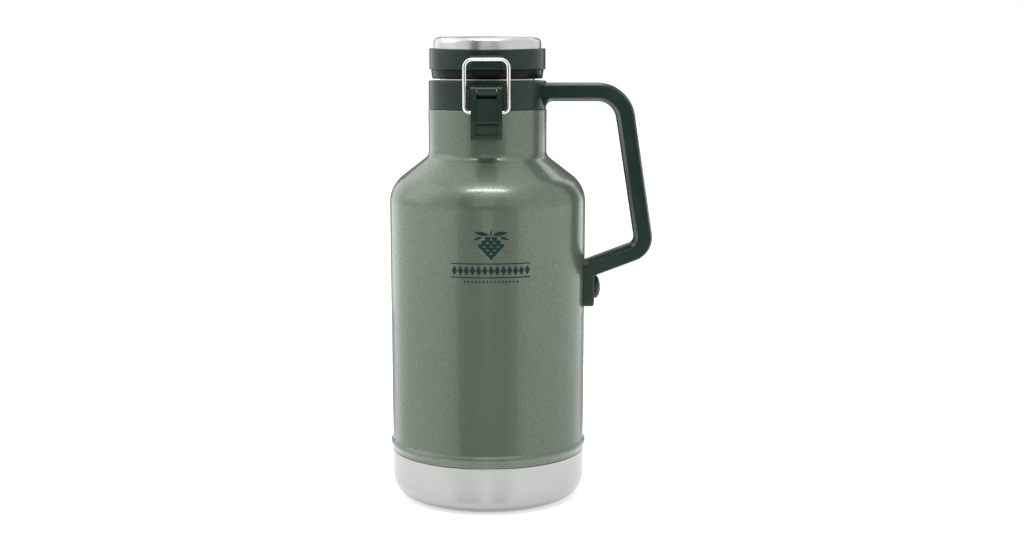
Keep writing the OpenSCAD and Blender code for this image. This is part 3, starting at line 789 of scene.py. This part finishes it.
def bail():
    """Wire bail: ends turned into the lever, two straight sides and a top bar."""
    r, half, length, foot_bend, top_bend, inner = 1.25, 13.9, 33.3, 3.6, 5.0, 8.3
    side = [(inner, 0.0)] + [(inner + (half - foot_bend - inner) * i / 3, 0.0) for i in (1, 2)]
    side += arc(half - foot_bend, foot_bend, foot_bend, -90, 0, 12)
    side += [(half, foot_bend + (length - foot_bend - top_bend) * i / 6) for i in range(1, 6)]
    side += arc(half - top_bend, length - top_bend, top_bend, 0, 90, 14)
    flat = side + [(-x, z) for x, z in reversed(side)]
    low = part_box("bail_wire")[0]
    tilt = math.asin((BAIL_Y - (low.y / MM + r)) / length)
    lean = Matrix.Rotation(tilt, 4, "X")
    path = [Vector((0, BAIL_Y, BAIL_Z)) + lean @ Vector((x, 0, z)) for x, z in flat]
    return tube("bail_rod", path, r)


# ---------------------------------------------------------------- generic print on the front

PRINT_SHIFT = 3.0               # how far round the body the print's middle is from the latch's


def on_body(s, z, lift):
    """A point of the print, s round the body from its middle, lifted off the paint."""
    r = body_radius(z) + lift
    a = (s + PRINT_SHIFT) / r
    return Vector((r * math.sin(a), -r * math.cos(a), z))


def print_shape(bm, outline, thick=0.08):
    """A thin closed piece of ink with a small convex outline of (s, z), laid on the body."""
    gap = 0.005
    low = [bm.verts.new(on_body(s, z, gap)) for s, z in outline]
    high = [bm.verts.new(on_body(s, z, gap + thick)) for s, z in outline]
    n = len(outline)
    bm.faces.new(high)
    bm.faces.new(list(reversed(low)))
    for k in range(n):
        j = (k + 1) % n
        bm.faces.new([low[k], low[j], high[j], high[k]])


def blade(bm, s0, z0, s1, z1, width, n=8):
    """A leaf from (s0, z0) to (s1, z1), widest in its middle."""
    def edge(t, side):
        half = width / 2 * math.sin(math.pi * min(max(t, 0.02), 0.98))
        return s0 + (s1 - s0) * t, z0 + (z1 - z0) * t + side * half
    for k in range(n):
        t0, t1 = k / n, (k + 1) / n
        print_shape(bm, [edge(t0, -1), edge(t1, -1), edge(t1, 1), edge(t0, 1)])


def scale_leaf(cx, cz, width, height):
    """One scale of a hop cone: round above, pointed below."""
    top = [(cx + width / 2 * math.cos(t), cz + height * 0.32 * math.sin(t))
           for t in (math.pi * i / 10 for i in range(11))]
    hip_z = cz - height * 0.38
    return top + [(cx - width * 0.26, hip_z), (cx, cz - height * 0.68), (cx + width * 0.26, hip_z)]


def diamond(c, z, half, high):
    return [(c - half, z), (c, z - high), (c + half, z), (c, z + high)]


def strip(bm, s0, s1, z0, z1):
    """A horizontal bar, in short steps so that it follows the body."""
    n = max(1, int((s1 - s0) / 1.5))
    for i in range(n):
        a, b = s0 + (s1 - s0) * i / n, s0 + (s1 - s0) * (i + 1) / n
        print_shape(bm, [(a, z0), (b, z0), (b, z1), (a, z1)])


def front_print():
    """A plain hop cone over a row of diamonds between two fine rules: no lettering."""
    bm = bmesh.new()
    top, pitch, width, height = 179.7, 2.25, 3.9, 3.5       # the cone's top row and its scales
    rules_z, diamonds_z, dots_z = (163.6, 154.9), 159.25, 152.2
    for row, count in enumerate((2, 3, 4, 3, 2, 1)):
        for k in range(count):
            along = (k - (count - 1) / 2) * (width + 0.4)
            print_shape(bm, scale_leaf(along, top - row * pitch, width, height))
    for s in (-1, 1):
        blade(bm, s * 0.9, top + 2.2, s * 10.6, top + 3.6, 2.5)
        blade(bm, s * 5.2, top + 0.9, s * 11.2, top - 1.0, 1.8)
    print_shape(bm, [(-0.45, top + 1.2), (0.45, top + 1.2), (0.45, top + 4.7), (-0.45, top + 4.7)])
    for z in rules_z:
        strip(bm, -25.5, 25.5, z - 0.35, z + 0.35)
    for k in range(-6, 7):
        print_shape(bm, diamond(k * 3.9, diamonds_z, 1.8, 3.15))
    for k in range(-7, 8):
        print_shape(bm, diamond(k * 2.4, dots_z, 0.75, 0.9))
    return mesh_object("front_print", bm)


# ---------------------------------------------------------------- assembly

finish_piece(shell(), "vessel", "hammered_paint", PAINT, "outer_shell")
finish_piece(base_cup(), "vessel", "base_steel", BASE_STEEL, "base_cup")
finish_piece(collar_and_handle(), "vessel", "green_moulding", GREEN, "collar_handle")
finish_piece(nut_cover(), "vessel", "green_moulding", GREEN, "nut_cover")
finish_piece(lid_ring(), "lid", "green_moulding", GREEN, "lid_ring")
finish_piece(lid_cap(), "lid", "cap_steel", CAP_STEEL, "lid_cap")
finish_piece(lid_core(), "lid", "charcoal_moulding", CHARCOAL, "lid_core")
finish_piece(latch_lever(), "lever", "green_moulding", GREEN, "latch_lever")
finish_piece(bail(), "bail", "wire_steel", WIRE_STEEL, "bail_wire")
finish_piece(front_print(), "vessel", "green_moulding", INK)

CAD_LOOKS = {
    "inner_liner": LINER_STEEL, "vacuum_pan": PLAIN_STEEL, "vacuum_seal": SOLDER, "getter": GETTER,
    "handle_stud": PLAIN_STEEL, "handle_nut": PLAIN_STEEL, "nut_washer": PLAIN_STEEL,
    "hinge_pin": PIN_STEEL, "latch_pin": PIN_STEEL, "lid_foam": FOAM, "lid_gasket": SILICONE,
    "lid_screws": PLAIN_STEEL,
}
for node, look in CAD_LOOKS.items():
    part = frame["nodes"][node]
    part.data.materials.clear()
    part.data.materials.append(look)


# ---------------------------------------------------------------- studio

def matte(name, grey, specular, glow):
    """Plain matt surface for the studio, which may glow a little."""
    mat = bpy.data.materials.new(name)
    mat.use_nodes = True
    shader = mat.node_tree.nodes["Principled BSDF"]
    shader.inputs["Base Color"].default_value = (grey, grey, grey, 1)
    shader.inputs["Roughness"].default_value = 0.9
    shader.inputs["Specular IOR Level"].default_value = specular
    shader.inputs["Emission Color"].default_value = (1, 1, 1, 1)
    shader.inputs["Emission Strength"].default_value = glow
    return mat


def sheet(name, corners, mat):
    """A flat four-cornered sheet of the studio."""
    bm = bmesh.new()
    bm.faces.new([bm.verts.new(c) for c in corners])
    obj = mesh_object(name, bm)
    obj.data.materials.append(mat)
    return obj


def floor():
    """Wide pale floor."""
    reach = 6000
    corners = [(x * reach, y * reach, 0) for x, y in ((-1, -1), (1, -1), (1, 1), (-1, 1))]
    obj = sheet("floor", corners, matte("studio_white", 0.80, 0.1, 0.50))


def panel(name, place, aim, size, power):
    """A soft rectangular light, aimed at a point, sizes in millimetres."""
    data = bpy.data.lights.new(name, "AREA")
    data.shape, data.size, data.size_y = "RECTANGLE", size[0] * MM, size[1] * MM
    data.energy = power
    obj = bpy.data.objects.new(name, data)
    obj.location = Vector(place) * MM
    obj.rotation_euler = (Vector(aim) - Vector(place)).to_track_quat("-Z", "Y").to_euler()
    obj.visible_camera = False
    bpy.context.scene.collection.objects.link(obj)


def upright(x0, x1, y, z0, z1):
    """Corners of a card that stands across the view."""
    return (x0, y, z0), (x1, y, z0), (x1, y, z1), (x0, y, z1)


def card(name, corners, grey, glow=0.0):
    """A card that only the reflections see; it gives the glossy pieces their darker bands."""
    obj = sheet(name, corners, matte(name, grey, 0.0, glow))
    obj.visible_camera = False
    obj.visible_shadow = False
    obj.visible_diffuse = glow == 0.0


FRONT, BEHIND, BEHIND_LID, NEAR = -650, 700, 720, 250       # where the upright cards stand
FLOOR_CARD_Z = 0.5
CARDS = (   # name, corners, grey, glow
    ("card_left", upright(-420, -70, FRONT, 70, 270), 0.02, 0.0),
    ("card_right", upright(60, 450, FRONT, 70, 270), 0.05, 0.0),
    ("card_left_high", upright(-430, -190, FRONT, 270, 1500), 0.03, 0.0),
    ("card_right_high", upright(100, 270, FRONT, 270, 1500), 0.40, 0.0),
    ("card_latch", upright(-75, 65, FRONT, 165, 290), 0.03, 0.0),
    ("card_behind_low", upright(-390, 430, BEHIND, 120, 238), 0.05, 0.0),
    ("card_behind_foot", upright(-390, 430, BEHIND, 4, 120), 0.05, 0.02),
    ("card_behind_base", upright(-240, 250, NEAR, 4, 95), 0.30, 0.12),
    ("card_behind_high", upright(-290, 50, BEHIND, 330, 1200), 0.05, 0.0),
    ("card_behind_right", upright(200, 430, BEHIND, 330, 1200), 0.05, 0.0),
    ("card_lid_left", upright(-355, -50, BEHIND_LID, 225, 450), 0.05, 0.0),
    ("card_lid_right", upright(150, 560, BEHIND_LID, 225, 450), 0.05, 0.0),
    ("card_floor_left", [(x, y, FLOOR_CARD_Z) for x, y in ((-4, -66), (-22, -62), (-168, -235), (-28, -235))],
     0.75, 0.3),
    ("card_floor_right", [(x, y, FLOOR_CARD_Z) for x, y in ((3, -66), (15, -64), (102, -235), (17, -235))],
     0.75, 0.3),
)
PANELS = (  # name, place, aim, size, power
    ("left", (-700, 850, 560), (0, 0, 200), (700, 1300), 1.30),
    ("right", (670, 860, 460), (0, 0, 180), (220, 1100), 0.55),
    ("left_high", (-1150, 50, 900), (0, 0, 230), (1100, 1150), 3.8),
    ("front_top", (0, -600, 1350), (0, 0, 200), (820, 170), 8.8),
    ("overhead", (0, 250, 1600), (0, 0, 200), (1600, 1400), 2.0),
    ("back_top", (60, 1000, 1150), (0, 0, 200), (1500, 450), 2.5),
)


def studio():
    """White surroundings, the cards and the lights."""
    world = bpy.data.worlds.new("studio")
    world.use_nodes = True
    back = world.node_tree.nodes["Background"]
    back.inputs["Color"].default_value = (1, 1, 1, 1)
    back.inputs["Strength"].default_value = 1.0
    bpy.context.scene.world = world
    bpy.context.scene.view_settings.view_transform = "Standard"
    for row in CARDS:
        card(*row)
    for row in PANELS:
        panel(*row)


def camera():
    """Level with the lid, looking a little down."""
    tilt = 0.133
    data = bpy.data.cameras.new("camera")
    data.sensor_width, data.lens = 36, 56.1
    data.clip_start, data.clip_end = 0.05, 60
    obj = bpy.data.objects.new("camera", data)
    obj.location = (0.01606, -1.053, 0.2934)
    obj.rotation_euler = (math.radians(90) - tilt, 0, 0)
    bpy.context.scene.collection.objects.link(obj)
    bpy.context.scene.camera = obj


floor()
studio()
camera()
